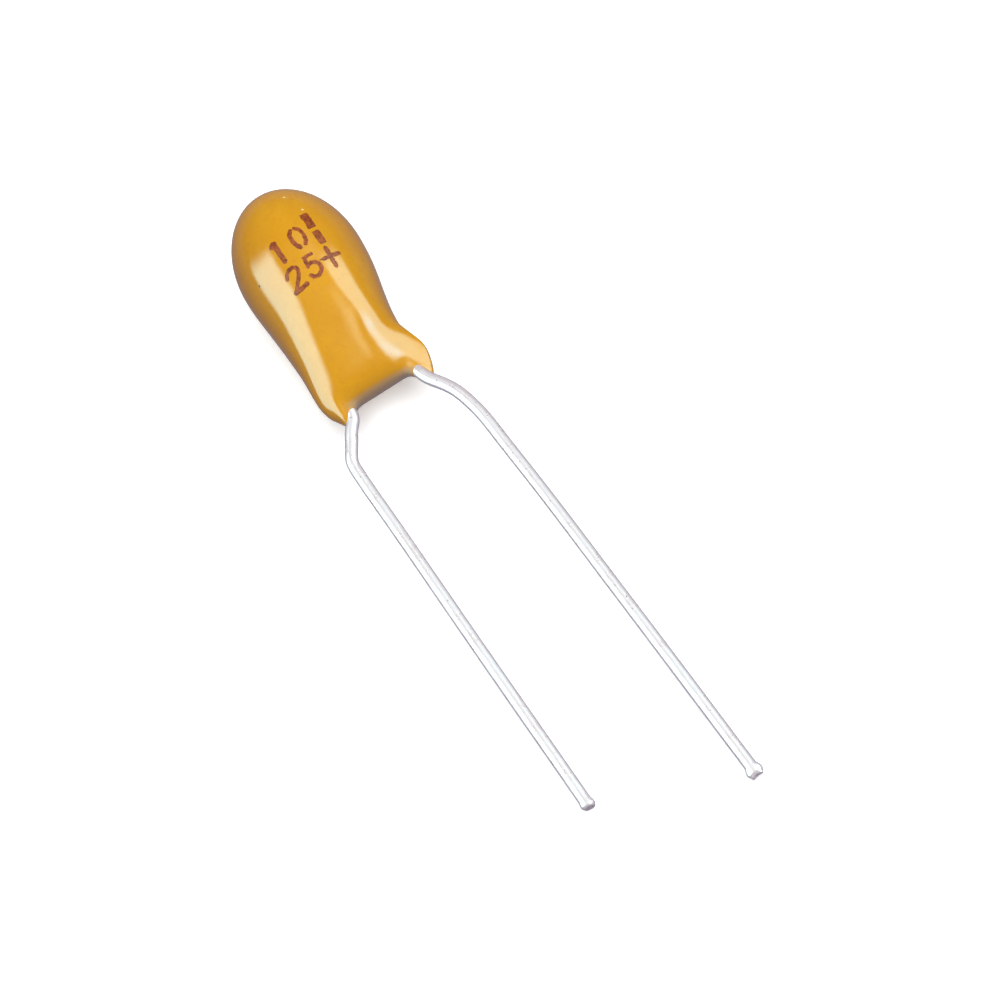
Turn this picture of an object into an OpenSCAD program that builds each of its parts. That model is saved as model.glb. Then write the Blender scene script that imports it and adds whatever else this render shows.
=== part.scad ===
// Dipped solid tantalum capacitor with formed radial leads, lying on its back.
//
// Working axes: x runs along the straight leads towards their tips, with x = 0
// close to the face where the leads leave the coat; +y is the side of the
// positive lead; +z is the front, the side that is marked. Both leads lie in
// the plane z = 0. At the end everything is turned and lowered so that the
// part rests on z = 0, touching it at the back of the coat and at both tips.

/* [Leads] */
// Diameter of the round lead wire
wire_d = 0.51; // [0.40:0.01:0.64]
// Distance between the leads where they leave the coat
root_pitch = 3.04; // [2.80:0.02:3.20]
// Distance between the leads after the forming bends
lead_pitch = 5.06; // [4.60:0.02:5.40]
// Sideways shift of the formed leads, towards the positive side
formed_shift = -0.07; // [-0.20:0.01:0.20]
// Distance from the lead face to the tip of the negative lead
negative_len = 18.55; // [12:0.1:26]
// Distance from the lead face to the tip of the positive lead
positive_len = 21.42; // [14:0.1:28]
// Outward lean of the negative lead behind its forming bends, degrees
negative_splay = 0.92; // [0:0.02:2]
// Outward lean of the positive lead behind its forming bends, degrees
positive_splay = 1.42; // [0:0.02:2]

/* [Coat] */
// Greatest width of the dipped body
body_w = 5.08; // [4.90:0.02:5.40]
// Greatest thickness of the dipped body
body_t = 4.76; // [4.50:0.02:5.20]
// Distance from the lead face to the top of the dome
body_len = 9.72; // [9.5:0.02:10.5]
// Width of the waist above the feet
waist_w = 4.32; // [4.10:0.02:4.60]
// Extra width of the feet beyond the waist
foot_flare = 0.48; // [0:0.02:0.60]
// Thickness of the coat near the lead face
foot_t = 1.96; // [1.7:0.02:2.2]
// Lean of the body sideways in its own plane, degrees
lean = 3.9; // [2.5:0.1:4.5]
// How far the coat runs down the negative lead
negative_run = 0.42; // [0:0.02:0.6]
// How far the coat runs down the positive lead
positive_run = 0.60; // [0:0.02:0.8]

/* [Inside] */
// Radius of the sintered pellet
pellet_r = 1.32; // [1.2:0.01:1.36]
// Length of the sintered pellet
pellet_len = 4.30; // [3.6:0.05:4.4]
// Diameter of the tantalum wire pressed into the pellet
riser_d = 0.30; // [0.26:0.01:0.36]
// Thickness of the manganese dioxide on the pellet
skin_t = 0.06; // [0.04:0.01:0.08]
// Thickness of the graphite coat
graphite_t = 0.04; // [0.03:0.01:0.05]
// Thickness of the silver coat
silver_t = 0.06; // [0.04:0.01:0.07]
// Thickness of the solder coat
solder_t = 0.12; // [0.10:0.01:0.14]

/* [Hidden] */
$fn = 64;

wire_r = wire_d / 2;
riser_r = riser_d / 2;

// Axis of the pellet, and where its lead side face is
pellet_y = 0.25;
pellet_z = -0.28;
pellet_x = -3.75;
// Plane in which the riser lies on the flattened end of the positive lead
weld_z = pellet_z + riser_r - 0.03;
weld_x = -2.30;

// Radii of the layers, from the pellet outwards
skin_r = pellet_r + skin_t;
graphite_r = skin_r + graphite_t;
silver_r = graphite_r + silver_t;
solder_r = silver_r + solder_t;
// Far ends of the layers, measured from the lead side face of the pellet
skin_s = pellet_len + skin_t;
graphite_s = skin_s + graphite_t;
silver_s = graphite_s + silver_t;
solder_s = silver_s + solder_t;
// Where each layer stops short of the lead side face
graphite_from = 0.35;
silver_from = 0.47;
solder_from = 0.62;
// Edge chamfers; a 45 degree chamfer grows by this share of each layer
grow = 2 - sqrt(2);
near_c = 0.12;
far_c = 0.18;
washer_r = 0.46;
washer_t = 0.25;

// ---------------------------------------------------------------- the leads

neg_y = -root_pitch / 2 + 0.02;
pos_y = root_pitch / 2 + 0.02;
neg_kink = [1.60, -lead_pitch / 2 + formed_shift];
pos_kink = [1.80, lead_pitch / 2 + formed_shift];
neg_tip = [negative_len, neg_kink[1] - (negative_len - neg_kink[0]) * tan(negative_splay)];
pos_tip = [positive_len, pos_kink[1] + (positive_len - pos_kink[0]) * tan(positive_splay)];

neg_path = [[-7.35, neg_y], [0.05, neg_y], neg_kink, neg_tip];
neg_bend = [0.50, 0.55];
pos_path = [[weld_x, 0.02], [weld_x, pos_y], [0.25, pos_y], pos_kink, pos_tip];
pos_bend = [0.55, 1.20, 1.60];

function heading(p, i) = atan2(p[i + 1][1] - p[i][1], p[i + 1][0] - p[i][0]);
function gap(a, b) = norm(b - a);
// Length that a bend takes from the straight on each side of corner i
function bite(p, r, i) =
    i == 0 || i == len(p) - 1 ? 0
    : r[i - 1] * tan(abs(heading(p, i) - heading(p, i - 1)) / 2);

// Round wire along a flat path: each straight carries the bend at its end, and
// the bend carries the next straight
module wire(p, r, i = 0) {
    length = gap(p[i], p[i + 1]) - bite(p, r, i) - bite(p, r, i + 1);
    if (i == 0)
        translate([p[0][0], p[0][1], 0])
            rotate([0, 90, heading(p, 0)])
                straight(p, r, 0, length);
    else
        straight(p, r, i, length);
}

module straight(p, r, i, length) {
    cylinder(r = wire_r, h = length);
    if (i < len(p) - 2)
        translate([0, 0, length])
            bend(p, r, i + 1);
}

// Here z runs along the wire, and a left turn bends it towards y
module bend(p, r, i) {
    turn = heading(p, i) - heading(p, i - 1);
    s = sign(turn);
    translate([0, s * r[i - 1], 0]) {
        rotate([90, 0, -90 * s])
            rotate_extrude(angle = abs(turn))
                translate([r[i - 1], 0])
                    circle(r = wire_r);
        rotate([-turn, 0, 0])
            translate([0, -s * r[i - 1], 0])
                wire(p, r, i);
    }
}

module positive_shape() {
    difference() {
        wire(pos_path, pos_bend);
        // flat pressed on the inner end, where the riser is welded on
        translate([weld_x - 0.5, -0.4, weld_z - 1])
            cube([1, 1.05, 1]);
    }
}

module negative_shape() {
    wire(neg_path, neg_bend);
}

// ---------------------------------------------------------- the coat's form

function clamp(v) = max(0, min(1, v));
function smooth(a, b, v) = let (h = clamp((v - a) / (b - a))) h * h * (3 - 2 * h);
function power(v, e) = v == 0 ? 0 : sign(v) * pow(abs(v), e);

wide_x = -6.26;             // station of the greatest width
cap_x = -0.95;              // where the lead face starts to round over
face_x = -0.16;             // the lead face
end_x = -0.75;              // where the thickness would stop falling
top_x = -body_len;

function dome(x) = sqrt(clamp(1 - pow((wide_x - x) / (wide_x - top_x), 2)));
function half_width(x) =
    x < wide_x ? body_w / 2 * dome(x)
    : waist_w / 2 + (body_w - waist_w) / 2 * (1 + cos(180 * clamp((x - wide_x) / 4.2))) / 2
      + foot_flare / 2 * smooth(-2.2, -0.7, x);
function half_thick(x) =
    x < wide_x ? body_t / 2 * dome(x)
    : foot_t / 2 + (body_t - foot_t) / 2
      * pow(1 - pow(clamp((x - wide_x) / (end_x - wide_x)), 2.2), 1.3);
function mid_y(x) = -0.19 - 0.09 * smooth(-5.2, -2.6, x) + 0.22 * smooth(-2.2, -0.6, x);
function mid_z(x) = -0.32 + 0.14 * smooth(-4.0, -0.8, x);
// The section goes from an ellipse at the dome to a fuller oblong at the feet
function fullness(x) = 2 + 0.7 * smooth(-5, -1, x);
function bell(v) = exp(-v * v);
// The front falls away towards the positive foot
function front_fall(x, y, q) =
    0.42 * smooth(-3.2, -1.0, x) * smooth(0.2, 2.2, y) * smooth(0, 0.85, q);
// Share of the thickness left where the lead face rounds over
function cap_share(t) = pow(1 - 0.645 * t - 0.355 * t * t, 0.375);
// The coat runs a little way down each lead
function run(y, z, y0, reach, spread, z0, back, front) =
    reach * bell((y - y0) / spread) * bell((z - z0) / (z < z0 ? back : front));
function runs(y, z) =
    run(y, z, -1.76, negative_run, 0.40, -0.45, 0.7, 0.7)
    + run(y, z, 1.80, positive_run, 0.42, -0.45, 0.7, 0.6)
    + run(y, z, 1.93, 0.6 * positive_run, 0.28, 0.25, 0.5, 0.6)
    + run(y, z, -1.84, 0.65 * negative_run, 0.22, 0.10, 0.5, 0.5)
    + run(y, z, neg_y - 0.03, 0.30, 0.32, 0, 0.34, 0.34)
    + run(y, z, pos_y, 0.35, 0.32, 0, 0.34, 0.34);

// A station is [x, share of the thickness, loss of half width, share of the runs]
sides = 48;
stations = concat(
    [for (a = [4, for (i = [1 : 10]) 9 * i]) [wide_x - (wide_x - top_x) * cos(a), 1, 0, 0]],
    [for (i = [1 : 20]) [wide_x + (cap_x - wide_x) * i / 20, 1, 0, 0]],
    [for (i = [1 : 7]) let (a = 11.5 * i)
        [cap_x + (face_x - cap_x) * sin(a), cap_share(sin(a)),
         0.42 * (1 - cos(a)), smooth(0, 1, sin(a))]]);

function lean_over(p) = [p[0] * cos(lean) + p[1] * sin(lean),
                         -p[0] * sin(lean) + p[1] * cos(lean), p[2]];
function ring_point(s, j) =
    let (x = s[0], a = 360 * j / sides, e = 2 / fullness(x),
         c = power(cos(a), e), q = power(sin(a), e),
         y = mid_y(x) + (half_width(x) - s[2]) * c,
         z = mid_z(x) + s[1] * (half_thick(x) * q - front_fall(x, y, q)))
    lean_over([x + s[3] * runs(y, z), y, z]);

rings = len(stations);
coat_points = concat(
    [lean_over([top_x, mid_y(top_x), mid_z(top_x)])],
    [for (s = stations) for (j = [0 : sides - 1]) ring_point(s, j)]);
function at(i, j) = 1 + i * sides + (j % sides);
coat_faces = concat(
    [for (j = [0 : sides - 1]) [0, at(0, j), at(0, j + 1)]],
    [for (i = [0 : rings - 2]) for (j = [0 : sides - 1])
        [at(i, j), at(i + 1, j), at(i + 1, j + 1)]],
    [for (i = [0 : rings - 2]) for (j = [0 : sides - 1])
        [at(i, j), at(i + 1, j + 1), at(i, j + 1)]],
    // the last ring is closed by strips from its front half to its back half
    [for (j = [1 : sides / 2 - 1])
        [at(rings - 1, sides - j), at(rings - 1, j + 1), at(rings - 1, j)]],
    [for (j = [0 : sides / 2 - 2])
        [at(rings - 1, sides - j), at(rings - 1, sides - j - 1), at(rings - 1, j + 1)]]);

// ------------------------------------------------------ layers on the pellet

// Turned about the pellet's axis; the profile's height runs to the far end
module turned(profile) {
    translate([pellet_x, pellet_y, pellet_z])
        rotate([0, -90, 0])
            rotate_extrude()
                polygon(profile);
}

function far_edge(r, s, t) = let (c = far_c + grow * t) [[r, s - c], [r - c, s]];
// A cup: outer wall and end, then the same of the layer below it
function cup(from, ro, so, to, ri, si, ti) =
    concat([[ri, from], [ro, from]], far_edge(ro, so, to), [[0, so], [0, si]],
           [for (i = [1, 0]) far_edge(ri, si, ti)[i]]);

skin_c = near_c + grow * skin_t;
skin_top = [[washer_r, 0], [washer_r, -skin_t], [skin_r - skin_c, -skin_t], [skin_r, skin_c - skin_t]];

module pellet_axis_cylinder(r, from, to) {
    translate([pellet_x - to, pellet_y, pellet_z])
        rotate([0, 90, 0])
            cylinder(r = r, h = to - from);
}

module riser_shape() {
    difference() {
        pellet_axis_cylinder(riser_r, pellet_x + 1.95, 2.3);
        translate([weld_x - 0.40, pellet_y - 0.5, weld_z])
            cube([2, 1, 1]);
    }
}

// Solder drawn up around the negative lead
bead_r = 0.36;
bead_from = -7.62;
bead_to = -4.82;
module bead_shape() {
    translate([bead_from, neg_y, 0]) rotate([0, 90, 0])
        cylinder(r = bead_r, h = bead_to - bead_from);
    translate([bead_to, neg_y, 0]) rotate([0, 90, 0])
        cylinder(r1 = bead_r, r2 = 0.27, h = 0.30);
    translate([bead_from - 0.18, neg_y, 0]) rotate([0, 90, 0])
        cylinder(r1 = 0.20, r2 = bead_r, h = 0.18);
    // the web of solder between the bead and the pellet
    translate([bead_from + 0.2, pellet_y, pellet_z])
        rotate([atan2(-pellet_z, neg_y - pellet_y), 0, 0])
            translate([0, 1.30, -0.33])
                cube([bead_to - bead_from - 0.4, 0.5, 0.66]);
}

// --------------------------------------------------------------- at rest

// Lowest points of the two tips before the part is turned
neg_low = [neg_tip[0], neg_tip[1], -wire_r];
pos_low = [pos_tip[0], pos_tip[1], -wire_r];
tip_line = (pos_low - neg_low) / norm(pos_low - neg_low);
back = [-tip_line[1], tip_line[0], 0];
// The body tips down about the line through the tips until its back touches
sink = max([for (p = coat_points) atan2(-(p - neg_low)[2], (p - neg_low) * back)]);
up = [sin(sink) * back[0], sin(sink) * back[1], cos(sink)];
along_raw = [1, 0, 0] - up[0] * up;
along = along_raw / norm(along_raw);
across = cross(up, along);

// Furthest reach of a tip's end disc in direction e
function heading_dir(p) = let (a = heading(p, len(p) - 2)) [cos(a), sin(a), 0];
function disc(tip, dir, e) = [tip[0], tip[1], 0] * e + wire_r * sqrt(1 - pow(dir * e, 2));
neg_dir = heading_dir(neg_path);
pos_dir = heading_dir(pos_path);
x_lo = min([for (p = coat_points) p * along]);
x_hi = max(disc(pos_tip, pos_dir, along), disc(neg_tip, neg_dir, along));
y_lo = -max(disc(neg_tip, neg_dir, -across), max([for (p = coat_points) -(p * across)]));
y_hi = max(disc(pos_tip, pos_dir, across), max([for (p = coat_points) p * across]));

module laid() {
    translate([-(x_lo + x_hi) / 2, -(y_lo + y_hi) / 2, -(neg_low * up)])
        multmatrix([[along[0], along[1], along[2], 0],
                    [across[0], across[1], across[2], 0],
                    [up[0], up[1], up[2], 0],
                    [0, 0, 0, 1]])
            children();
}

// ------------------------------------------------------------------ nodes

module epoxy_coat() {
    color("goldenrod") laid() difference() {
        polyhedron(points = coat_points, faces = coat_faces, convexity = 6);
        turned(concat([[0, -washer_t], [washer_r, -washer_t], [washer_r, -skin_t],
                       [skin_r - skin_c, -skin_t], [skin_r, skin_c - skin_t],
                       [skin_r, graphite_from], [graphite_r, graphite_from],
                       [graphite_r, silver_from], [silver_r, silver_from],
                       [silver_r, solder_from], [solder_r, solder_from]],
                      far_edge(solder_r, solder_s, skin_t + graphite_t + silver_t + solder_t),
                      [[0, solder_s]]));
        bead_shape();
        riser_shape();
        positive_shape();
        negative_shape();
    }
}

module positive_lead() {
    color("gainsboro") laid() positive_shape();
}

module negative_lead() {
    color("gainsboro") laid() negative_shape();
}

module tantalum_pellet() {
    color("dimgray") laid() difference() {
        turned(concat([[0, 0], [pellet_r - near_c, 0], [pellet_r, near_c]],
                      far_edge(pellet_r, pellet_len, 0), [[0, pellet_len]]));
        riser_shape();
    }
}

module tantalum_riser() {
    color("slategray") laid() riser_shape();
}

module insulating_washer() {
    color("white") laid() translate([pellet_x, pellet_y, pellet_z])
        rotate([0, 90, 0]) difference() {
            cylinder(r = washer_r, h = washer_t);
            translate([0, 0, -1]) cylinder(r = riser_r, h = washer_t + 2);
        }
}

module manganese_dioxide_skin() {
    color("black") laid()
        turned(concat(skin_top, far_edge(skin_r, skin_s, skin_t), [[0, skin_s], [0, pellet_len]],
                      [for (i = [1, 0]) far_edge(pellet_r, pellet_len, 0)[i]],
                      [[pellet_r, near_c], [pellet_r - near_c, 0]]));
}

module graphite_coat() {
    color([0.20, 0.20, 0.21]) laid()
        turned(cup(graphite_from, graphite_r, graphite_s, skin_t + graphite_t,
                   skin_r, skin_s, skin_t));
}

module silver_coat() {
    color("silver") laid()
        turned(cup(silver_from, silver_r, silver_s, skin_t + graphite_t + silver_t,
                   graphite_r, graphite_s, skin_t + graphite_t));
}

module solder_coat() {
    color("lightgray") laid() difference() {
        union() {
            pellet_slug();
            bead_shape();
        }
        turned(concat([[0, -0.5], [silver_r, -0.5]],
                      far_edge(silver_r, silver_s, skin_t + graphite_t + silver_t),
                      [[0, silver_s]]));
        negative_shape();
    }
}

module pellet_slug() {
    turned(concat([[0, solder_from], [solder_r, solder_from]],
                  far_edge(solder_r, solder_s, skin_t + graphite_t + silver_t + solder_t),
                  [[0, solder_s]]));
}

epoxy_coat();
positive_lead();
negative_lead();
tantalum_pellet();
tantalum_riser();
insulating_washer();
manganese_dioxide_skin();
graphite_coat();
silver_coat();
solder_coat();
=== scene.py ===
import math
import bpy
import numpy as np
from mathutils import Matrix, Vector


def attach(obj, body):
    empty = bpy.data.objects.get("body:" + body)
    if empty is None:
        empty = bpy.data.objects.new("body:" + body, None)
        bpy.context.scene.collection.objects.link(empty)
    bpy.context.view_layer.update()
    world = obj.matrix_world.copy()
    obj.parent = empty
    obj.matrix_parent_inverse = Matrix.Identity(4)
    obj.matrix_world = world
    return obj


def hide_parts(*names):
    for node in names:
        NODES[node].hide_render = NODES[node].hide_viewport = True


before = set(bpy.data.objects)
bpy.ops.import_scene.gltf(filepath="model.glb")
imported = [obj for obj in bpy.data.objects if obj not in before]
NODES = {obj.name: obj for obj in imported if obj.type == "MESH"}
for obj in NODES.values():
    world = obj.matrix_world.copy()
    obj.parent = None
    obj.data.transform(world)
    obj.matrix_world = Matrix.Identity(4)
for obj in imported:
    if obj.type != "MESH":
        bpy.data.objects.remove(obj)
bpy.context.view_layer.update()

# ---------------------------------------------------------------------------
# The CAD model's own working axes, in mm (x along the leads, +y the positive
# side, +z the marked front), and how they lie in the row frame.
# ---------------------------------------------------------------------------
ALONG = np.array([0.995534, 0.00441515, 0.0942956])
ACROSS = np.array([0.0, 0.998906, -0.0467712])
UP = np.array([-0.094399, 0.0465623, 0.994445])
OFFSET = np.array([-5.82749, -0.0370194, 2.13842])
AXES = np.stack([ALONG, ACROSS, UP], 1)


def to_row(p):
    return (np.asarray(p, float) @ AXES + OFFSET) * 0.001


def direction(v):
    return Vector(np.asarray(v, float) @ AXES).normalized()


def smooth(a, b, v):
    h = np.clip((np.asarray(v, float) - a) / (b - a), 0.0, 1.0)
    return h * h * (3 - 2 * h)


rng = np.random.default_rng(7)

# ---------------------------------------------------------------------------
# Form of the coat
# ---------------------------------------------------------------------------
LEAN = math.radians(3.9)
TOP_X, WIDE_X, CAP_X, FACE_X = -9.72, -6.26, -0.95, -0.16
BODY_W, BODY_T, WAIST_W, FLARE, FOOT_T = 5.08, 4.76, 4.32, 0.48, 1.96
END_X, CAP_K = -0.75, 0.645
DROP = 0.42


def dome(x):
    return np.sqrt(np.clip(1 - ((WIDE_X - x) / (WIDE_X - TOP_X)) ** 2, 0, 1))


def half_width(x):
    f = np.clip((x - WIDE_X) / 4.2, 0, 1)
    low = (WAIST_W / 2 + (BODY_W - WAIST_W) / 2 * (1 + np.cos(np.pi * f)) / 2
           + FLARE / 2 * smooth(-2.2, -0.7, x))
    return np.where(x < WIDE_X, BODY_W / 2 * dome(x), low)


def half_thick(x):
    f = np.clip((x - WIDE_X) / (END_X - WIDE_X), 0, 1)
    low = FOOT_T / 2 + (BODY_T - FOOT_T) / 2 * (1 - f ** 2.2) ** 1.3
    return np.where(x < WIDE_X, BODY_T / 2 * dome(x), low)


def mid_y(x):
    return -0.19 - 0.09 * smooth(-5.2, -2.6, x) + 0.22 * smooth(-2.2, -0.6, x)


def mid_z(x):
    return -0.32 + 0.14 * smooth(-4.0, -0.8, x)


def fullness(x):
    return 2 + 0.7 * smooth(-5, -1, x)


def front_fall(x, y, s):
    # the front falls away towards the positive foot
    return DROP * smooth(-3.2, -1.0, x) * smooth(0.2, 2.2, y) * smooth(0, 0.85, s)


# The coat runs a little way down each lead: centre and reach across the width,
# spread, centre and spreads over the thickness (back, front)
RUNS = ((-1.76, 0.42, 0.40, -0.45, 0.7, 0.7), (1.80, 0.60, 0.42, -0.45, 0.7, 0.60),
        (1.93, 0.36, 0.28, 0.25, 0.5, 0.6), (-1.84, 0.273, 0.22, 0.10, 0.5, 0.5),
        (-1.53, 0.30, 0.32, 0.0, 0.34, 0.34), (1.54, 0.35, 0.32, 0.0, 0.34, 0.34))


def runs(y, z):
    ex = np.zeros_like(y)
    for y0, reach, spread, z0, back, front in RUNS:
        ex += reach * np.exp(-((y - y0) / spread) ** 2) * np.exp(
            -((z - z0) / np.where(z < z0, back, front)) ** 2)
    return ex


def signed_power(v, e):
    return np.sign(v) * np.abs(v) ** e


def lean_over(x, y, z):
    c, s = math.cos(LEAN), math.sin(LEAN)
    return np.stack([x * c + y * s, -x * s + y * c, z], -1)


def coat_front(x, y):
    """Height of the coat's front over the working plane at (x, y)."""
    c, s = math.cos(LEAN), math.sin(LEAN)
    xs, ys = x * c - y * s, x * s + y * c
    e = 2 / fullness(xs)
    cc = np.clip((ys - mid_y(xs)) / half_width(xs), -1, 1)
    s0 = np.sqrt(np.clip(1 - np.abs(cc) ** (2 / e), 0, 1))
    sz = s0 ** e
    return mid_z(xs) + half_thick(xs) * sz - front_fall(xs, ys, sz)


def coat_rings(sides):
    th = np.linspace(0, 2 * np.pi, sides, endpoint=False)
    c0, s0 = np.cos(th), np.sin(th)
    stations = []
    for a in np.linspace(0, 90, 41)[1:]:
        stations.append((WIDE_X - (WIDE_X - TOP_X) * math.cos(math.radians(a)), 1.0, 0.0, 0.0))
    for x in np.linspace(WIDE_X, CAP_X, 71)[1:]:
        stations.append((x, 1.0, 0.0, 0.0))
    for a in np.concatenate([np.linspace(0, 80.5, 24)[1:], np.linspace(80.5, 90, 7)[1:]]):
        t = math.radians(a)
        st = math.sin(t)
        share = max(0.0, 1 - CAP_K * st - (1 - CAP_K) * st * st) ** 0.375
        if a > 89.99:
            share = 0.0
        stations.append((CAP_X + (FACE_X - CAP_X) * st, share, 0.42 * (1 - math.cos(t)),
                         float(smooth(0, 1, st))))
    rings = []
    for x, share, loss, rn in stations:
        e = 2 / float(fullness(x))
        c, s = signed_power(c0, e), signed_power(s0, e)
        y = mid_y(x) + (half_width(x) - loss) * c
        z = mid_z(x) + half_thick(x) * share * s
        z = z - front_fall(x, y, s) * share
        rings.append(lean_over(x + runs(y, z) * rn, y, z))
    rings = np.array(rings)
    # no crease where the lead face starts to round over
    crease = next(i for i, q in enumerate(stations) if q[0] > CAP_X + 1e-6) - 1
    i = np.arange(len(rings))
    w = 0.5 * smooth(16, 9, np.abs(i - crease))[1:-1, None, None]
    for _ in range(40):
        rings[1:-1] += w * ((rings[:-2] + rings[2:]) / 2 - rings[1:-1])
    return rings


# ---------------------------------------------------------------------------
# Helpers for making objects
# ---------------------------------------------------------------------------
def add_mesh(name, verts, faces, smooth_shading=True, uv=None):
    mesh = bpy.data.meshes.new(name)
    mesh.from_pydata([tuple(v) for v in verts], [], [tuple(f) for f in faces])
    if uv is not None:
        layer = mesh.uv_layers.new(name="UVMap")
        index = np.empty(len(mesh.loops), int)
        mesh.loops.foreach_get("vertex_index", index)
        layer.data.foreach_set("uv", np.asarray(uv, float)[index].ravel())
    mesh.update()
    mesh.validate()
    if smooth_shading:
        mesh.shade_smooth()
    obj = bpy.data.objects.new(name, mesh)
    bpy.context.scene.collection.objects.link(obj)
    return obj


def ring_faces(rings, sides, first=0, flip=False):
    faces = []
    for i in range(rings - 1):
        for j in range(sides):
            k = (j + 1) % sides
            q = (first + i * sides + j, first + i * sides + k,
                 first + (i + 1) * sides + k, first + (i + 1) * sides + j)
            faces.append(q[::-1] if flip else q)
    return faces


def outward(verts, faces):
    """True if the closed mesh's faces look outwards."""
    v = np.asarray(verts)
    vol = 0.0
    for f in faces:
        for i in range(1, len(f) - 1):
            vol += np.dot(v[f[0]], np.cross(v[f[i]], v[f[i + 1]]))
    return vol > 0


# ---------------------------------------------------------------------------
# Coat
# ---------------------------------------------------------------------------
SIDES = 224
rings = coat_rings(SIDES)
n_rings = len(rings)
verts = list(lean_over(np.array(TOP_X), mid_y(TOP_X), mid_z(TOP_X)).reshape(1, 3))
last = rings[-1]
for r in rings[:-1]:
    verts.extend(r)
faces = [(0, 1 + (j + 1) % SIDES, 1 + j) for j in range(SIDES)]
faces += [f[::-1] for f in ring_faces(n_rings - 1, SIDES, 1)]
# the last ring is a line: front and back points are the same
base = len(verts)
for j in range(SIDES // 2 + 1):
    verts.append((last[j] + last[(SIDES - j) % SIDES]) / 2)
prev = 1 + (n_rings - 2) * SIDES


def on_line(j):
    j = j % SIDES
    return base + (j if j <= SIDES // 2 else SIDES - j)


for j in range(SIDES):
    k = (j + 1) % SIDES
    quad = [prev + j, prev + k, on_line(k), on_line(j)]
    faces.append(tuple(quad[::-1]))
verts = np.array(verts)
if not outward(verts, faces):
    faces = [f[::-1] for f in faces]
coat = add_mesh("coat", to_row(verts), faces)

# ---------------------------------------------------------------------------
# Leads
# ---------------------------------------------------------------------------
WIRE_R = 0.255


def rounded_path(points, radii, step=0.05):
    pts = [np.array(points[0], float)]
    for i in range(1, len(points) - 1):
        p, a, b = (np.array(points[i], float), np.array(points[i - 1], float),
                   np.array(points[i + 1], float))
        u, v = (a - p) / np.linalg.norm(a - p), (b - p) / np.linalg.norm(b - p)
        ang = math.acos(max(-1, min(1, float(u @ v))))
        t = radii[i - 1] / math.tan(ang / 2)
        m = (u + v) / np.linalg.norm(u + v)
        centre = p + m * radii[i - 1] / math.sin(ang / 2)
        s, e = p + u * t - centre, p + v * t - centre
        turn = math.pi - ang
        for k in range(0, 13):
            w = k / 12
            pts.append(centre + (math.sin((1 - w) * turn) * s + math.sin(w * turn) * e)
                       / math.sin(turn))
    pts.append(np.array(points[-1], float))
    return np.array(pts)


def resample(pts, step):
    d = np.r_[0, np.cumsum(np.linalg.norm(np.diff(pts, axis=0), axis=1))]
    n = max(2, int(round(d[-1] / step)) + 1)
    s = np.linspace(0, d[-1], n)
    return np.stack([np.interp(s, d, pts[:, 0]), np.interp(s, d, pts[:, 1])], 1), s


def spline(points, step=0.05):
    """Natural cubic through the points, by chord length."""
    p = np.array(points, float)
    d = np.r_[0, np.cumsum(np.linalg.norm(np.diff(p, axis=0), axis=1))]
    n = len(p)
    h = np.diff(d)
    a = np.zeros((n, n))
    rhs = np.zeros((n, 2))
    a[0, 0] = a[-1, -1] = 1
    for i in range(1, n - 1):
        a[i, i - 1], a[i, i], a[i, i + 1] = h[i - 1], 2 * (h[i - 1] + h[i]), h[i]
        rhs[i] = 6 * ((p[i + 1] - p[i]) / h[i] - (p[i] - p[i - 1]) / h[i - 1])
    m = np.linalg.solve(a, rhs)
    out = []
    for s in np.arange(0, d[-1], step):
        i = min(n - 2, int(np.searchsorted(d, s, side="right") - 1))
        t0, t1 = d[i + 1] - s, s - d[i]
        out.append(m[i] * t0 ** 3 / (6 * h[i]) + m[i + 1] * t1 ** 3 / (6 * h[i])
                   + (p[i] / h[i] - m[i] * h[i] / 6) * t0
                   + (p[i + 1] / h[i] - m[i + 1] * h[i] / 6) * t1)
    out.append(p[-1])
    return np.array(out)


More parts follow.
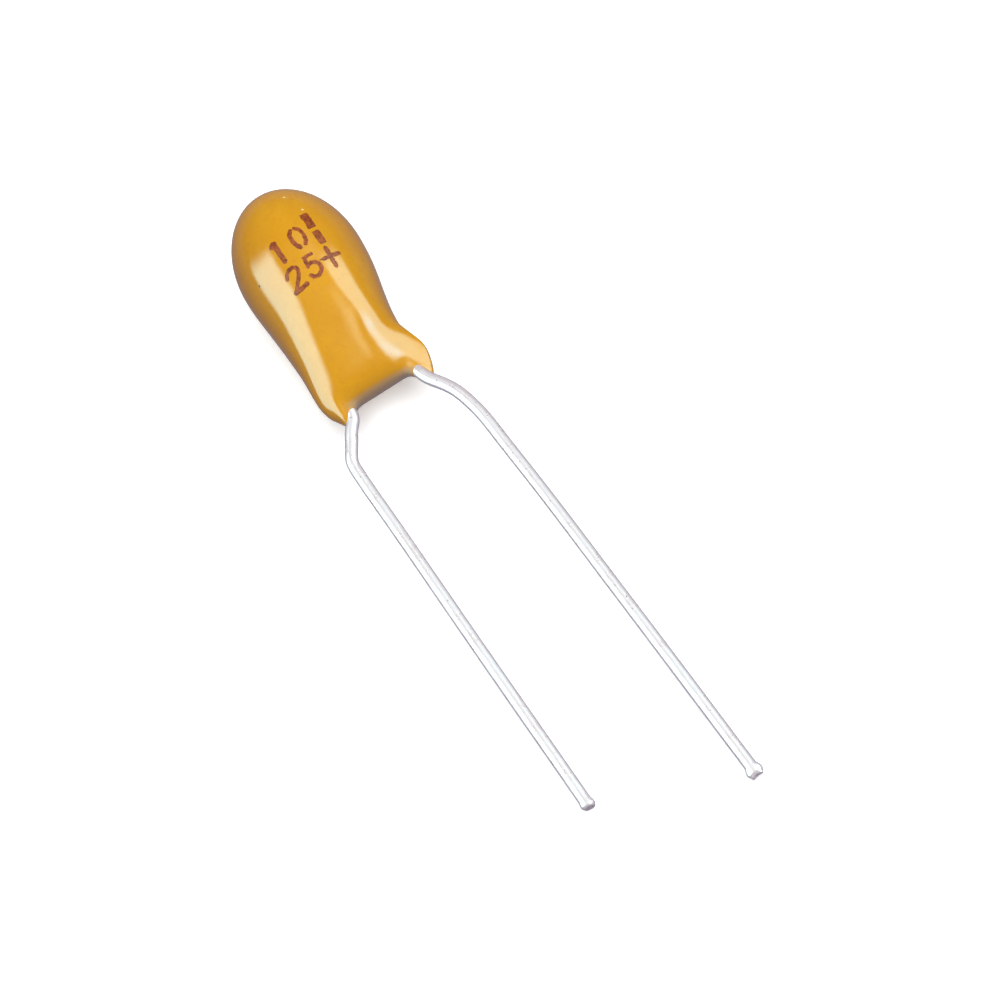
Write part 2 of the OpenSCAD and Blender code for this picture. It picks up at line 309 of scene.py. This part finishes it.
def make_lead(name, inner, outer, tip, flat=None, sunk=0.0):
    """Round wire along inner + outer, with its last rings shaped by tip()."""
    sides = 40
    path = np.vstack([inner, spline(outer)])
    path, s = resample(path, 0.06)
    # ease the join of the two parts
    for _ in range(4):
        path[1:-1] = (path[:-2] + 2 * path[1:-1] + path[2:]) / 4
    tang = np.gradient(path, axis=0)
    tang /= np.linalg.norm(tang, axis=1)[:, None]
    length = s[-1]
    th = np.linspace(0, 2 * np.pi, sides, endpoint=False)
    rows, uv = [], []
    extra = [0.0]
    stations = [(p, t, length - q) for p, t, q in zip(path, tang, s)]
    # finer rings in the last 0.6 mm
    keep = [q for q in stations if q[2] > 0.62]
    endp, endt = path[-1], tang[-1]
    for q in np.linspace(0.60, 0.0, 16):
        keep.append((endp - endt * q, endt, q))
    for p, t, q in keep:
        side = np.array([-t[1], t[0]])
        ry, rz, push = tip(q, th)
        y = WIRE_R * ry * np.cos(th)
        z = WIRE_R * rz * np.sin(th)
        pt = p[None, :] + side[None, :] * y[:, None] + t[None, :] * push[:, None]
        # a little deeper in the coat than outside it
        z = z - sunk * (1 - smooth(-0.30, 0.35, p[0])) * smooth(-2.0, -0.9, p[0])
        ring = np.column_stack([pt, z])
        if flat is not None:
            ring[:, 2] = flat(ring)
        rows.append(ring)
        uv.append(np.column_stack([np.full(sides, (length - q)), th / (2 * np.pi)]))
    rows, uv = np.array(rows), np.array(uv)
    v = list(rows.reshape(-1, 3))
    u = list(uv.reshape(-1, 2))
    f = ring_faces(len(rows), sides)
    # ends: two shrinking rings and a centre
    for end, ring in ((0, rows[0]), (1, rows[-1])):
        c = ring.mean(0)
        first = 0 if end == 0 else (len(rows) - 1) * sides
        prev = first
        for k, share in enumerate((0.93, 0.80, 0.55, 0.28)):
            new = len(v)
            bulge = (0.012, 0.018, 0.018, 0.014)[k] if end else 0.0
            rough = rng.normal(0, 0.006 if end else 0.0, sides)
            t3 = np.array([tang[-1][0], tang[-1][1], 0.0])
            v.extend(c + (ring - c) * share + t3 * (bulge + rough)[:, None])
            u.extend([(length if end else 0.0, j / sides) for j in range(sides)])
            for j in range(sides):
                m = (j + 1) % sides
                q = (prev + j, prev + m, new + m, new + j)
                f.append(q if end else q[::-1])
            prev = new
        v.append(c)
        u.append((length if end else 0.0, 0.5))
        for j in range(sides):
            m = (j + 1) % sides
            q = (prev + j, prev + m, len(v) - 1)
            f.append(q if end else q[::-1])
    v = np.array(v)
    if not outward(v, f):
        f = [q[::-1] for q in f]
    return add_mesh(name, to_row(v), f, uv=u)


def blunt_tip(q, th):
    """Sheared off: the end swells and rounds over, with an uneven rim."""
    w = 1 + 0.15 * smooth(0.42, 0.14, q) - 0.24 * smooth(0.10, 0.0, q)
    ry = w * (1 + 0.03 * np.sin(3 * th + 0.8) * smooth(0.3, 0.0, q))
    rz = (1 + 0.02 * smooth(0.4, 0.1, q) - 0.20 * smooth(0.10, 0, q)) * np.ones_like(th)
    push = 0.035 * np.cos(th + 0.5) * smooth(0.25, 0.0, q) * np.ones_like(th)
    return ry * np.ones_like(th), rz, push


def sheared_tip(q, th):
    """Pinched by the cutter: a wider, rounded burr of two lobes."""
    ry = (1 + 0.34 * smooth(0.54, 0.26, q) - 0.36 * smooth(0.20, 0, q)) * np.ones_like(th)
    rz = (1 - 0.12 * smooth(0.40, 0.10, q) - 0.22 * smooth(0.12, 0, q)) * np.ones_like(th)
    lobe = np.abs(np.cos(th)) ** 1.5
    push = (0.05 * lobe - 0.05) * smooth(0.25, 0.0, q) + 0.015 * np.sin(2 * th + 1) * smooth(0.2, 0, q)
    return ry, rz, push


NEG_Y, POS_Y = -1.50, 1.54
WELD_X, WELD_Z = -2.30, -0.16
neg_outer = [(-0.35, -1.50), (-0.02, -1.505), (0.16, -1.55), (0.45, -1.80), (0.86, -2.09), (1.26, -2.36),
             (1.62, -2.56), (2.0, -2.612), (4.1, -2.652), (7.62, -2.708), (11.79, -2.78),
             (15.24, -2.826), (18.55, -2.872)]
pos_outer = [(-0.35, 1.54), (-0.05, 1.54), (0.16, 1.555), (0.49, 1.645), (0.88, 1.85), (1.36, 2.13), (1.91, 2.345),
             (2.40, 2.455), (2.85, 2.53), (4.35, 2.615), (5.95, 2.672), (8.31, 2.738), (11.47, 2.790),
             (14.56, 2.845), (19.2, 2.912), (21.42, 2.946)]
neg_inner = np.array([(-7.35, NEG_Y), (-0.40, NEG_Y)])
pos_inner = rounded_path([(WELD_X, 0.02), (WELD_X, POS_Y), (-0.40, POS_Y)], [0.55])


def flat_end(ring):
    z = ring[:, 2].copy()
    sel = ring[:, 1] < 0.65
    z[sel] = np.maximum(z[sel], WELD_Z)
    return z


lead_neg = make_lead("lead_negative", neg_inner, neg_outer, blunt_tip)
lead_pos = make_lead("lead_positive", pos_inner, pos_outer, sheared_tip, flat_end, 0.13)

# ---------------------------------------------------------------------------
# Marks: strokes in the working plane, laid on the coat's front
# ---------------------------------------------------------------------------
STROKES = [
    # 1
    ([(-6.83, -0.13), (-5.97, -0.14)], 0.098),
    ([(-6.85, -0.06), (-6.83, -0.22), (-6.76, -0.27)], 0.070),
    # 0
    ([(-6.89, 0.700), (-6.76, 0.590), (-6.60, 0.555), (-6.40, 0.550), (-6.22, 0.580), (-6.06, 0.670)], 0.078),
    ([(-6.90, 0.885), (-6.78, 0.985), (-6.60, 1.045), (-6.40, 1.050), (-6.24, 1.015), (-6.08, 0.920)], 0.070),
    # 2
    ([(-5.32, -0.475), (-5.46, -0.39), (-5.565, -0.24), (-5.57, -0.06), (-5.48, 0.060), (-5.33, 0.075),
      (-5.20, 0.010), (-5.03, -0.13), (-4.84, -0.32), (-4.71, -0.46)], 0.070),
    ([(-4.675, -0.50), (-4.66, -0.30), (-4.70, 0.045)], 0.085),
    # 5
    ([(-5.615, 0.855), (-5.605, 0.545)], 0.066),
    ([(-5.60, 0.515), (-5.22, 0.465)], 0.072),
    ([(-5.245, 0.47), (-5.315, 0.64), (-5.25, 0.80), (-5.11, 0.875), (-4.95, 0.870), (-4.80, 0.780),
      (-4.71, 0.620), (-4.75, 0.440), (-4.88, 0.350)], 0.070),
    # plus
    ([(-5.56, 1.425), (-4.72, 1.365)], 0.072),
    ([(-5.175, 1.125), (-5.155, 1.72)], 0.078),
]
BARS = [((-7.30, 1.335), (-6.545, 1.645)), ((-6.395, 1.345), (-5.745, 1.625))]


def mark_field(x, y):
    """Negative inside the marks, in mm."""
    d = np.full(x.shape, 9.0)
    for pts, r in STROKES:
        for (ax, ay), (bx, by) in zip(pts[:-1], pts[1:]):
            lx, ly = bx - ax, by - ay
            t = np.clip(((x - ax) * lx + (y - ay) * ly) / (lx * lx + ly * ly), 0, 1)
            d = np.minimum(d, np.hypot(x - ax - t * lx, y - ay - t * ly) - r - 0.010)
    for (ax, ay), (bx, by) in BARS:
        cx, cy, hx, hy = (ax + bx) / 2, (ay + by) / 2, (bx - ax) / 2 - 0.03, (by - ay) / 2 - 0.03
        qx, qy = np.abs(x - cx) - hx, np.abs(y - cy) - hy
        d = np.minimum(d, np.hypot(np.maximum(qx, 0), np.maximum(qy, 0))
                       + np.minimum(np.maximum(qx, qy), 0) - 0.03)
    return d


def wobble(x, y, cell, seed):
    """Smooth value noise on a plane."""
    g = np.random.default_rng(seed).normal(0, 1, (64, 64))
    u, v = (x + 20) / cell, (y + 20) / cell
    i, j = np.floor(u).astype(int), np.floor(v).astype(int)
    a, b = smooth(0, 1, u - i), smooth(0, 1, v - j)
    return ((1 - a) * ((1 - b) * g[i % 64, j % 64] + b * g[i % 64, (j + 1) % 64])
            + a * ((1 - b) * g[(i + 1) % 64, j % 64] + b * g[(i + 1) % 64, (j + 1) % 64]))


def make_marks():
    step = 0.021
    xs = np.arange(-7.45, -4.45, step)
    ys = np.arange(-0.75, 1.95, step)
    gx, gy = np.meshgrid(xs, ys, indexing="ij")
    d = mark_field(gx, gy) + 0.010 * wobble(gx, gy, 0.06, 3) + 0.006 * wobble(gx, gy, 0.15, 5)
    verts2, index, tris = [], {}, []

    def node(key, p):
        if key not in index:
            index[key] = len(verts2)
            verts2.append(p)
        return index[key]

    def corner(i, j):
        return node(("c", i, j), (xs[i], ys[j]))

    def crossing(i, j, k, m):
        key = ("e",) + tuple(sorted(((i, j), (k, m))))
        a, b = d[i, j], d[k, m]
        t = min(0.97, max(0.03, a / (a - b)))
        return node(key, (xs[i] + t * (xs[k] - xs[i]), ys[j] + t * (ys[m] - ys[j])))

    for i in range(len(xs) - 1):
        for j in range(len(ys) - 1):
            cell = [(i, j), (i + 1, j), (i + 1, j + 1), (i, j + 1)]
            if min(d[c] for c in cell) >= 0:
                continue
            for tri in ((cell[0], cell[1], cell[2]), (cell[0], cell[2], cell[3])):
                poly = []
                for q in range(3):
                    a, b = tri[q], tri[(q + 1) % 3]
                    if d[a] < 0:
                        poly.append(corner(*a))
                    if (d[a] < 0) != (d[b] < 0):
                        poly.append(crossing(*a, *b))
                for q in range(1, len(poly) - 1):
                    tris.append((poly[0], poly[q], poly[q + 1]))
    p = np.array(verts2)
    n = len(p)
    top = np.column_stack([p, coat_front(p[:, 0], p[:, 1]) + 0.0035])
    low = np.column_stack([p, coat_front(p[:, 0], p[:, 1]) - 0.012])
    # rim: edges used by one triangle only
    count = {}
    for t in tris:
        for q in range(3):
            count[(t[q], t[(q + 1) % 3])] = True
    faces = [t for t in tris] + [(t[2] + n, t[1] + n, t[0] + n) for t in tris]
    for (a, b) in list(count):
        if (b, a) not in count:
            faces.append((b, a, a + n, b + n))
    v = np.vstack([top, low])
    if not outward(v, faces):
        faces = [f[::-1] for f in faces]
    return add_mesh("marking", to_row(v), faces, smooth_shading=True)


marks = make_marks()


# ---------------------------------------------------------------------------
# Materials
# ---------------------------------------------------------------------------
def linear(c):
    return tuple((v / 12.92 if v <= 0.04045 else ((v + 0.055) / 1.055) ** 2.4)
                 for v in (x / 255 for x in c)) + (1.0,)


class Shader:
    def __init__(self, name, base, rough, metal=0.0, ior=1.5):
        self.mat = bpy.data.materials.new(name)
        self.mat.use_nodes = True
        self.t = self.mat.node_tree
        self.bsdf = self.t.nodes["Principled BSDF"]
        self.bsdf.inputs["Base Color"].default_value = linear(base)
        self.bsdf.inputs["Roughness"].default_value = rough
        self.bsdf.inputs["Metallic"].default_value = metal
        self.bsdf.inputs["IOR"].default_value = ior

    def new(self, kind, **values):
        n = self.t.nodes.new(kind)
        for k, v in values.items():
            if hasattr(n, k):
                setattr(n, k, v)
            else:
                n.inputs[k.replace("_", " ")].default_value = v
        return n

    def link(self, a, b):
        self.t.links.new(a, b)

    def coords(self, scale=(1, 1, 1), kind="Object"):
        tc = self.new("ShaderNodeTexCoord")
        mp = self.new("ShaderNodeMapping")
        mp.inputs["Scale"].default_value = scale
        self.link(tc.outputs[kind], mp.inputs["Vector"])
        return mp.outputs["Vector"]

    def noise(self, vec, scale, detail=3.0, rough=0.5):
        n = self.new("ShaderNodeTexNoise")
        n.inputs["Scale"].default_value = scale
        n.inputs["Detail"].default_value = detail
        n.inputs["Roughness"].default_value = rough
        self.link(vec, n.inputs["Vector"])
        return n.outputs["Fac"]

    def spread(self, value, lo, hi, out_lo=0.0, out_hi=1.0, soft=True):
        n = self.new("ShaderNodeMapRange")
        n.interpolation_type = "SMOOTHSTEP" if soft else "LINEAR"
        n.inputs["From Min"].default_value = lo
        n.inputs["From Max"].default_value = hi
        n.inputs["To Min"].default_value = out_lo
        n.inputs["To Max"].default_value = out_hi
        self.link(value, n.inputs["Value"])
        return n.outputs["Result"]

    def mix(self, fac, a, b, mode="MIX"):
        n = self.new("ShaderNodeMix")
        n.data_type = "RGBA"
        n.blend_type = mode
        for sock, val in ((n.inputs[0], fac), (n.inputs[6], a), (n.inputs[7], b)):
            if hasattr(val, "is_output") or hasattr(val, "links"):
                self.link(val, sock)
            else:
                sock.default_value = val
        return n.outputs[2]

    def math(self, op, a, b=0.0):
        n = self.new("ShaderNodeMath")
        n.operation = op
        for sock, val in ((n.inputs[0], a), (n.inputs[1], b)):
            if hasattr(val, "links"):
                self.link(val, sock)
            else:
                sock.default_value = val
        return n.outputs[0]

    def dot(self, kind, axis):
        """Object position, or the surface's normal, measured along a working axis."""
        src = self.new("ShaderNodeTexCoord" if kind == "TexCoord" else "ShaderNodeNewGeometry")
        n = self.new("ShaderNodeVectorMath")
        n.operation = "DOT_PRODUCT"
        self.link(src.outputs["Object" if kind == "TexCoord" else "Normal"], n.inputs[0])
        n.inputs[1].default_value = tuple(direction(axis))
        return n.outputs["Value"]

    def bump(self, height, strength, distance):
        n = self.new("ShaderNodeBump")
        n.inputs["Strength"].default_value = strength
        n.inputs["Distance"].default_value = distance
        self.link(height, n.inputs["Height"])
        self.link(n.outputs["Normal"], self.bsdf.inputs["Normal"])
        return n

    def set(self, name, value):
        self.link(value, self.bsdf.inputs[name])


def spot(sh, point, radius, edge=0.35):
    """1 inside a small spot about a point given in mm, 0 outside."""
    tc = sh.new("ShaderNodeTexCoord")
    n = sh.new("ShaderNodeVectorMath")
    n.operation = "DISTANCE"
    sh.link(tc.outputs["Object"], n.inputs[0])
    n.inputs[1].default_value = tuple(to_row(point))
    return sh.spread(n.outputs["Value"], radius * 0.001 * (1 - edge), radius * 0.001 * (1 + edge), 1.0, 0.0)


def place(axis, x, y):
    """Where the coat's own station (x, y) lies along a direction of the working axes, in m."""
    return float(np.dot(to_row(lean_over(np.array(x), np.array(y), np.array(0.0))), np.array(direction(axis))))


def epoxy():
    sh = Shader("epoxy", (224, 156, 22), 0.10, ior=1.55)
    sh.bsdf.inputs["Specular IOR Level"].default_value = 0.72
    vec = sh.coords()
    big = sh.noise(vec, 260, 2.0)
    fine = sh.noise(vec, 2600, 3.0, 0.6)
    grain = sh.noise(vec, 9000, 2.0, 0.7)
    tone = sh.mix(sh.spread(big, 0.35, 0.68), linear((203, 142, 16)), linear((213, 154, 19)))
    tone = sh.mix(sh.spread(fine, 0.30, 0.72), tone, linear((208, 146, 12)))
    tone = sh.mix(sh.math("MULTIPLY", sh.spread(grain, 0.52, 0.75), 0.35), tone, linear((188, 120, 10)))
    for p, r, c in SPECKS_AND_GLINTS:
        tone = sh.mix(spot(sh, p, r), tone, linear(c))
    # painted shade: the coat turns darker brown, then dull grey, where it ends between the leads at the lead face
    c, s = math.cos(LEAN), math.sin(LEAN)
    down = sh.dot("TexCoord", (c, -s, 0))
    across = sh.dot("TexCoord", (s, c, 0))
    between = sh.math("MULTIPLY", sh.spread(across, place((s, c, 0), 0, -1.72), place((s, c, 0), 0, -1.10)),
                      sh.spread(across, place((s, c, 0), 0, 1.15), place((s, c, 0), 0, 1.62), 1.0, 0.0))
    low = sh.math("MULTIPLY", between, sh.spread(down, place((c, -s, 0), -0.72, 0), place((c, -s, 0), -0.22, 0)))
    tone = sh.mix(sh.math("MULTIPLY", low, 0.22), tone, linear((166, 116, 40)))
    low = sh.math("MULTIPLY", between, sh.spread(down, place((c, -s, 0), -0.36, 0), place((c, -s, 0), -0.10, 0)))
    tone = sh.mix(sh.math("MULTIPLY", low, 0.72), tone, linear((182, 164, 138)))
    # painted shade: near-black on the faces turned down towards the floor, near the lead face
    under = sh.dot("Geometry", (0.35, 0, -1))
    low = sh.math("MULTIPLY", sh.spread(down, place((c, -s, 0), -1.4, 0), place((c, -s, 0), -0.5, 0)),
                  sh.spread(under, 0.30, 0.66, 0.0, 0.60))
    tone = sh.mix(low, tone, linear((40, 33, 28)))
    sh.set("Base Color", tone)
    sh.set("Roughness", sh.spread(fine, 0.3, 0.7, 0.09, 0.15))
    h = sh.math("ADD", sh.math("MULTIPLY", big, 1.0), sh.math("MULTIPLY", fine, 0.12))
    sh.bump(h, 0.35, 0.00006)
    return sh.mat


def front_point(x, y):
    return (x, y, float(coat_front(np.array(x), np.array(y))))


# Small spots on the coat's front: real specks and a smudge, and two painted glints
SPECKS_AND_GLINTS = [
    (front_point(-6.00, -1.50), 0.050, (60, 45, 20)),
    (front_point(-5.21, 1.00), 0.035, (120, 80, 25)),
    (front_point(-5.76, 0.15), 0.050, (205, 130, 25)),
    # painted glints: two pale cream spots in the highlight's colour
    (front_point(-8.50, 1.28), 0.045, (250, 225, 170)),
    (front_point(-7.50, 1.58), 0.045, (250, 220, 150)),
]


def mark_ink():
    sh = Shader("marking_ink", (142, 70, 30), 0.32, ior=1.45)
    vec = sh.coords()
    blot = sh.noise(vec, 7000, 3.0, 0.65)
    mid = sh.noise(vec, 2400, 2.0)
    tone = sh.mix(sh.spread(blot, 0.36, 0.66), linear((112, 52, 22)), linear((162, 84, 34)))
    tone = sh.mix(sh.spread(mid, 0.55, 0.72, 0.0, 0.5), tone, linear((146, 66, 32)))
    sh.set("Base Color", tone)
    sh.set("Roughness", sh.spread(blot, 0.3, 0.7, 0.26, 0.42))
    sh.bump(blot, 0.4, 0.00001)
    return sh.mat


def tinned():
    sh = Shader("tinned_wire", (240, 238, 241), 0.2, metal=0.58)
    sh.bsdf.inputs["Specular Tint"].default_value = (0.10, 0.09, 0.11, 1.0)
    along = sh.coords((1.0, 14.0, 1.0), "UV")
    vec = sh.coords()
    drawn = sh.noise(sh.coords((0.35, 9.0, 1.0), "UV"), 3.0, 3.0, 0.6)
    mott = sh.noise(vec, 1500, 3.0, 0.6)
    nick = sh.noise(vec, 5200, 2.0, 0.6)
    tone = sh.mix(sh.spread(mott, 0.35, 0.70), linear((254, 244, 248)), linear((238, 229, 236)))
    tone = sh.mix(sh.spread(drawn, 0.58, 0.80, 0.0, 0.5), tone, linear((190, 184, 194)))
    tone = sh.mix(sh.spread(nick, 0.70, 0.78, 0.0, 0.8), tone, linear((92, 84, 92)))
    sh.set("Base Color", tone)
    sh.set("Roughness", sh.spread(mott, 0.3, 0.7, 0.24, 0.42))
    h = sh.math("ADD", sh.math("MULTIPLY", drawn, 0.8), sh.math("MULTIPLY", mott, 0.6))
    sh.bump(h, 0.30, 0.00002)
    return sh.mat


def powder(name, lo, hi, rough, metal=0.0, scale=6000, bump=0.5, depth=0.00004):
    """Grainy finish for the parts under the coat."""
    sh = Shader(name, hi, rough, metal)
    vec = sh.coords()
    grain = sh.noise(vec, scale, 4.0, 0.6)
    cloud = sh.noise(vec, scale / 8, 2.0)
    tone = sh.mix(sh.spread(grain, 0.32, 0.68), linear(lo), linear(hi))
    tone = sh.mix(sh.spread(cloud, 0.4, 0.7, 0.0, 0.4), tone, linear(tuple((a + b) / 2 for a, b in zip(lo, hi))))
    sh.set("Base Color", tone)
    sh.set("Roughness", sh.spread(grain, 0.3, 0.7, max(0.05, rough - 0.08), min(1.0, rough + 0.08)))
    sh.bump(grain, bump, depth)
    return sh.mat


def paint(obj, mat):
    obj.data.materials.clear()
    obj.data.materials.append(mat)


tin = tinned()
paint(coat, epoxy())
paint(lead_neg, tin)
paint(lead_pos, tin)
paint(marks, mark_ink())
paint(NODES["tantalum_pellet"], powder("sintered_tantalum", (66, 66, 72), (104, 104, 112), 0.62, 0.6, 9000))
paint(NODES["tantalum_riser"], powder("tantalum_wire", (120, 122, 132), (158, 160, 170), 0.34, 1.0, 3000, 0.2, 0.00001))
paint(NODES["insulating_washer"], powder("washer_plastic", (222, 222, 216), (240, 240, 236), 0.42, 0.0, 2500, 0.2, 0.00001))
paint(NODES["manganese_dioxide_skin"], powder("manganese_dioxide", (16, 15, 15), (38, 35, 34), 0.72, 0.0, 7000))
paint(NODES["graphite_coat"], powder("graphite", (38, 39, 42), (66, 67, 72), 0.48, 0.2, 5000, 0.3, 0.00002))
paint(NODES["silver_coat"], powder("silver_paint", (172, 172, 172), (208, 208, 206), 0.42, 0.8, 5000, 0.3, 0.00002))
paint(NODES["solder_coat"], powder("solder", (164, 166, 172), (204, 206, 210), 0.28, 1.0, 1800, 0.3, 0.00005))

# ---------------------------------------------------------------------------
# Table
# ---------------------------------------------------------------------------
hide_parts("epoxy_coat")
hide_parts("negative_lead")
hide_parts("positive_lead")
for piece in (coat, lead_neg, lead_pos, marks):
    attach(piece, "root")

# ---------------------------------------------------------------------------
# Floor, lights and camera
# ---------------------------------------------------------------------------
def stage_material(name, colour, rough=0.9):
    sh = Shader(name, colour, rough)
    sh.bsdf.inputs["Specular IOR Level"].default_value = 0.1
    return sh.mat


floor = add_mesh("floor", [(-0.6, -0.6, 0), (0.6, -0.6, 0), (0.6, 0.6, 0), (-0.6, 0.6, 0)], [(0, 1, 2, 3)], False)
paper = stage_material("floor_paper", (254, 254, 254))
paper.node_tree.nodes["Principled BSDF"].inputs["Emission Color"].default_value = (1.0, 1.0, 1.0, 1.0)
paper.node_tree.nodes["Principled BSDF"].inputs["Emission Strength"].default_value = 0.34
paint(floor, paper)
floor.visible_glossy = False
floor.visible_diffuse = False

# What the surfaces see below them is a dull grey table, as if the paper were not there
table = add_mesh("table", [(-0.6, -0.6, -0.0002), (0.6, -0.6, -0.0002), (0.6, 0.6, -0.0002), (-0.6, 0.6, -0.0002)],
                 [(0, 1, 2, 3)], False)
grey = bpy.data.materials.new("table_grey")
grey.use_nodes = True
grey.node_tree.nodes.clear()
glow = grey.node_tree.nodes.new("ShaderNodeEmission")
glow.inputs["Color"].default_value = (0.88, 0.80, 1.0, 1.0)
glow.inputs["Strength"].default_value = 0.36
grey.node_tree.links.new(glow.outputs[0], grey.node_tree.nodes.new("ShaderNodeOutputMaterial").inputs["Surface"])
paint(table, grey)
table.visible_camera = False
table.visible_shadow = False

CENTRE = np.array([-4.5, 0.0, 0.0])
KEY = 8.4


def light_patch(name, lat, along, radius, strength, colour, soft=(0.2, 0.2), skew=0.0, n=24):
    """Part of a big sphere about the coat that shines, given by the angles of
    its edges in the working axes, with soft edges. It shows in reflections."""
    verts, uv = [], []
    for i in range(n + 1):
        for j in range(n + 1):
            b = along[0] + (along[1] - along[0]) * j / n
            a = math.radians(lat[0] + (lat[1] - lat[0]) * i / n + skew * (b - (along[0] + along[1]) / 2))
            b = math.radians(b)
            d = np.array([math.sin(b), math.sin(a) * math.cos(b), math.cos(a) * math.cos(b)])
            verts.append(to_row(CENTRE + d * radius))
            uv.append((i / n, j / n))
    faces = [(i * (n + 1) + j, (i + 1) * (n + 1) + j, (i + 1) * (n + 1) + j + 1, i * (n + 1) + j + 1)
             for i in range(n) for j in range(n)]
    obj = add_mesh(name, verts, faces, True, uv)
    mat = bpy.data.materials.new(name)
    mat.use_nodes = True
    t = mat.node_tree
    t.nodes.clear()
    sh = Shader.__new__(Shader)
    sh.mat, sh.t = mat, t
    out = sh.new("ShaderNodeOutputMaterial")
    em = sh.new("ShaderNodeEmission")
    em.inputs["Color"].default_value = colour + (1.0,)
    tr = sh.new("ShaderNodeBsdfTransparent")
    mixer = sh.new("ShaderNodeMixShader")
    tc = sh.new("ShaderNodeTexCoord")
    sep = sh.new("ShaderNodeSeparateXYZ")
    sh.link(tc.outputs["UV"], sep.inputs[0])
    edge = None
    for axis in (0, 1):
        a = sh.spread(sep.outputs[axis], 0.0, soft[axis])
        b = sh.spread(sep.outputs[axis], 1.0 - soft[axis], 1.0, 1.0, 0.0)
        m = sh.math("MULTIPLY", a, b)
        edge = m if edge is None else sh.math("MULTIPLY", edge, m)
    em.inputs["Strength"].default_value = strength
    sh.link(edge, mixer.inputs[0])
    sh.link(tr.outputs[0], mixer.inputs[1])
    sh.link(em.outputs[0], mixer.inputs[2])
    sh.link(mixer.outputs[0], out.inputs["Surface"])
    paint(obj, mat)
    obj.visible_diffuse = False
    obj.visible_shadow = False
    return obj


light_patch("softbox_left", (-86, -25), (-42, 26), 420, 6.0, (0.60, 0.92, 0.86), (0.16, 0.22))
light_patch("softbox_right", (33, 75), (-16, 44), 420, 4.4, (0.70, 1.0, 0.88), (0.18, 0.20))
light_patch("softbox_foot", (34, 60), (6, 26), 415, 8.6, (0.42, 0.84, 1.0), (0.40, 0.42))
light_patch("softbox_top", (10, 50), (-40, -4), 430, 0.7, (0.8, 1.0, 0.9), (0.35, 0.35))
light_patch("softbox_mid", (2, 30), (0, 25), 440, 2.5, (0.80, 1.0, 0.70), (0.45, 0.40), -1.4)

# Wide soft key from the camera's side, which lights everything evenly
key_data = bpy.data.lights.new("key", "AREA")
key_data.shape = "DISK"
key_data.size = 0.90
key_data.energy = KEY
key = bpy.data.objects.new("key", key_data)
bpy.context.scene.collection.objects.link(key)
kz = direction((0.02, 0.18, 1.0))
kx = kz.orthogonal().normalized()
km = Matrix((kx, kz.cross(kx), kz)).transposed().to_4x4()
km.translation = Vector(to_row(CENTRE)) + kz * 0.75
key.matrix_world = km
key.visible_glossy = False

world = bpy.data.worlds.new("studio")
bpy.context.scene.world = world
world.use_nodes = True
bg = world.node_tree.nodes["Background"]
bg.inputs["Color"].default_value = (1.0, 1.0, 1.0, 1.0)
bg.inputs["Strength"].default_value = 0.20

scene = bpy.context.scene
scene.view_settings.view_transform = "Standard"

# The camera looks at the working plane's front, turned towards the tips
PHI, ROLL = math.radians(22), math.radians(54.15)
DIST, SCALE = 300.0, 26.0
toward = np.array([math.sin(PHI), 0.0, math.cos(PHI)])
a_dir = np.array([math.cos(PHI), 0.0, -math.sin(PHI)])
v_dir = np.array([0.0, 1.0, 0.0])
# picture right and picture down in the working axes
right = math.cos(ROLL) * a_dir + math.sin(ROLL) * v_dir
down = math.sin(ROLL) * a_dir - math.cos(ROLL) * v_dir
cam_data = bpy.data.cameras.new("camera")
cam = bpy.data.objects.new("camera", cam_data)
scene.collection.objects.link(cam)
scene.camera = cam
cam_data.sensor_width = 36.0
cam_data.lens = SCALE * DIST / 1000 * 36.0
cam_data.shift_x = (500 - 383.5) / 1000
cam_data.shift_y = -(500 - 391.5) / 1000
cam_data.clip_start = 0.01
cam_data.clip_end = 5.0
X, Y, Z = direction(right), direction(-down), direction(toward)
where = Vector(to_row(toward * DIST))
m = Matrix((X, Y, Z)).transposed().to_4x4()
m.translation = where
cam.matrix_world = m
